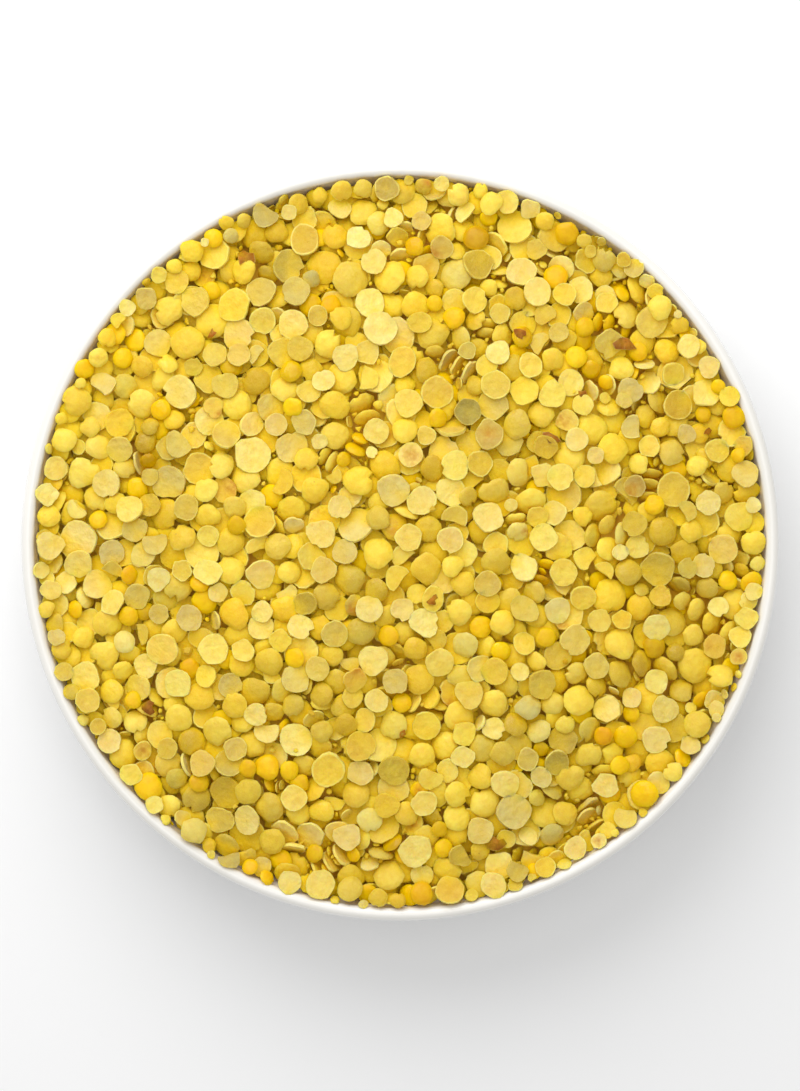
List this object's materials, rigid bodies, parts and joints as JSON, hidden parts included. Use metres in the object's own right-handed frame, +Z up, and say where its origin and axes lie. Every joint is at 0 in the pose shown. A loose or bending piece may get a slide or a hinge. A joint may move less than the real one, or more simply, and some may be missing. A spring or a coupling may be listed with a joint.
{
  "type": "dish of dry lentils",
  "caption": "Shallow round white glazed dish filled to its rim with dry hulled yellow lentils, lying as a gently domed heap.",
  "frame": {"origin": "centre of the foot ring's underside, on the surface that the dish stands on", "axes": "+Z up along the dish's axis; the dish is round, so +X and +Y only fix how the lentils lie"},
  "size_m": [0.1398, 0.1398, 0.032],
  "materials": {
    "glaze": "gloss",
    "lentil": "matte"
  },
  "bodies": {
    "root": {"dish": "glaze", "lentils": "lentil"}
  },
  "joints": []
}
